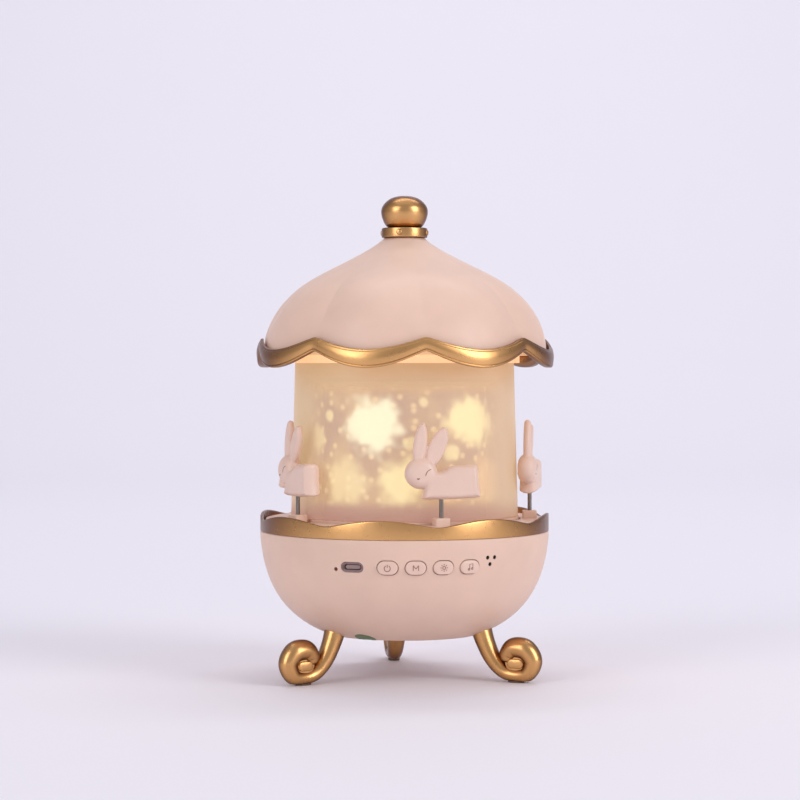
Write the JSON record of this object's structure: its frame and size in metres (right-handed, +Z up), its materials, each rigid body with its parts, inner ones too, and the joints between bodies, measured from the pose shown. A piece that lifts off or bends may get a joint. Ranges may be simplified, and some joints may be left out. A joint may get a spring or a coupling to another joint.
{
  "type": "carousel music box",
  "caption": "Carousel night light and music box: rabbits ride round a lit drum under a scalloped canopy, with buttons on a bowl base and scroll feet.",
  "frame": {"origin": "middle of the bounding box's underside, on the plane the feet stand on", "axes": "+Z up along the carousel's axis, -Y to the front with the buttons, +X to the right seen from the front"},
  "size_m": [0.1292, 0.1292, 0.2095],
  "materials": {
    "pink_shell": "satin moulded plastic, matt with a soft sheen",
    "gold_trim": "satin gold metallic paint",
    "white_plastic": "plain moulded plastic",
    "steel": "bright steel",
    "rubber": "black rubber",
    "frosted_shade": "frosted translucent plastic, lit from inside",
    "printed_film": "translucent film with a printed pattern of soft shapes, lit from inside",
    "circuit_board": "green solder mask",
    "black_plastic": "black moulded plastic"
  },
  "bodies": {
    "base": {"battery": "steel", "bottom_cover": "pink_shell", "bowl_rim": "gold_trim", "bowl_shell": "pink_shell", "charging_socket": "steel", "cover_screw_1": "steel", "cover_screw_2": "steel", "cover_screw_3": "steel", "deck": "pink_shell", "foot_left": "gold_trim", "foot_pad_left": "rubber", "foot_pad_rear": "rubber", "foot_pad_right": "rubber", "foot_rear": "gold_trim", "foot_right": "gold_trim", "gearbox": "white_plastic", "indicator_lens": "white_plastic", "lamp_column": "white_plastic", "led_board": "circuit_board", "led_lens": "white_plastic", "main_board": "circuit_board", "microphone": "steel", "motor": "steel", "shade": "frosted_shade", "shade_cap": "white_plastic", "speaker_cone": "black_plastic", "speaker_frame": "black_plastic", "speaker_magnet": "steel", "switch_board": "circuit_board", "switch_light": "black_plastic", "switch_mode": "black_plastic", "switch_music": "black_plastic", "switch_power": "black_plastic"},
    "carousel": {"carousel_ring": "pink_shell", "rabbit_1": "pink_shell", "rabbit_2": "pink_shell", "rabbit_3": "pink_shell", "rabbit_4": "pink_shell", "rabbit_5": "pink_shell", "rod_1": "steel", "rod_2": "steel", "rod_3": "steel", "rod_4": "steel", "rod_5": "steel"},
    "film_drum": {"drum_gear": "white_plastic", "projector_film": "printed_film", "drum_cap": "white_plastic"},
    "drive_gear": {"drive_pinion": "white_plastic"},
    "canopy": {"canopy_shell": "pink_shell", "canopy_trim": "gold_trim", "canopy_liner": "white_plastic", "finial_collar": "gold_trim", "finial_knob": "gold_trim", "finial_screw": "steel"},
    "button_power": {"button_power": "pink_shell"},
    "button_mode": {"button_mode": "pink_shell"},
    "button_light": {"button_light": "pink_shell"},
    "button_music": {"button_music": "pink_shell"}
  },
  "joints": [
    {"name": "carousel_turn", "type": "hinge", "parent": "base", "child": "carousel", "pos_m": [0, 0, 0.0698], "axis": [0, 0, 1], "continuous": true},
    {"name": "film_drum_turn", "type": "hinge", "parent": "base", "child": "film_drum", "pos_m": [0, 0, 0.0663], "axis": [0, 0, 1], "continuous": true},
    {"name": "drive_pinion_turn", "type": "hinge", "parent": "base", "child": "drive_gear", "pos_m": [0, 0.048, 0.0663], "axis": [0, 0, 1], "continuous": true},
    {"name": "canopy_lift", "type": "slide", "parent": "base", "child": "canopy", "axis": [0, 0, 1], "range_m": [0, 0.075]},
    {"name": "power_button_press", "type": "slide", "parent": "base", "child": "button_power", "axis": [0.2045, 0.9789, 0], "range_m": [0, 0.0006], "stiffness_N_per_m": 600},
    {"name": "mode_button_press", "type": "slide", "parent": "base", "child": "button_mode", "axis": [0.0175, 0.9998, 0], "range_m": [0, 0.0006], "stiffness_N_per_m": 600},
    {"name": "light_button_press", "type": "slide", "parent": "base", "child": "button_light", "axis": [-0.1702, 0.9854, 0], "range_m": [0, 0.0006], "stiffness_N_per_m": 600},
    {"name": "music_button_press", "type": "slide", "parent": "base", "child": "button_music", "axis": [-0.3518, 0.9361, 0], "range_m": [0, 0.0006], "stiffness_N_per_m": 600}
  ],
  "couplings": [
    {"joint": "film_drum_turn", "follows": "carousel_turn", "ratio": -1.2857},
    {"joint": "drive_pinion_turn", "follows": "carousel_turn", "ratio": 9}
  ]
}
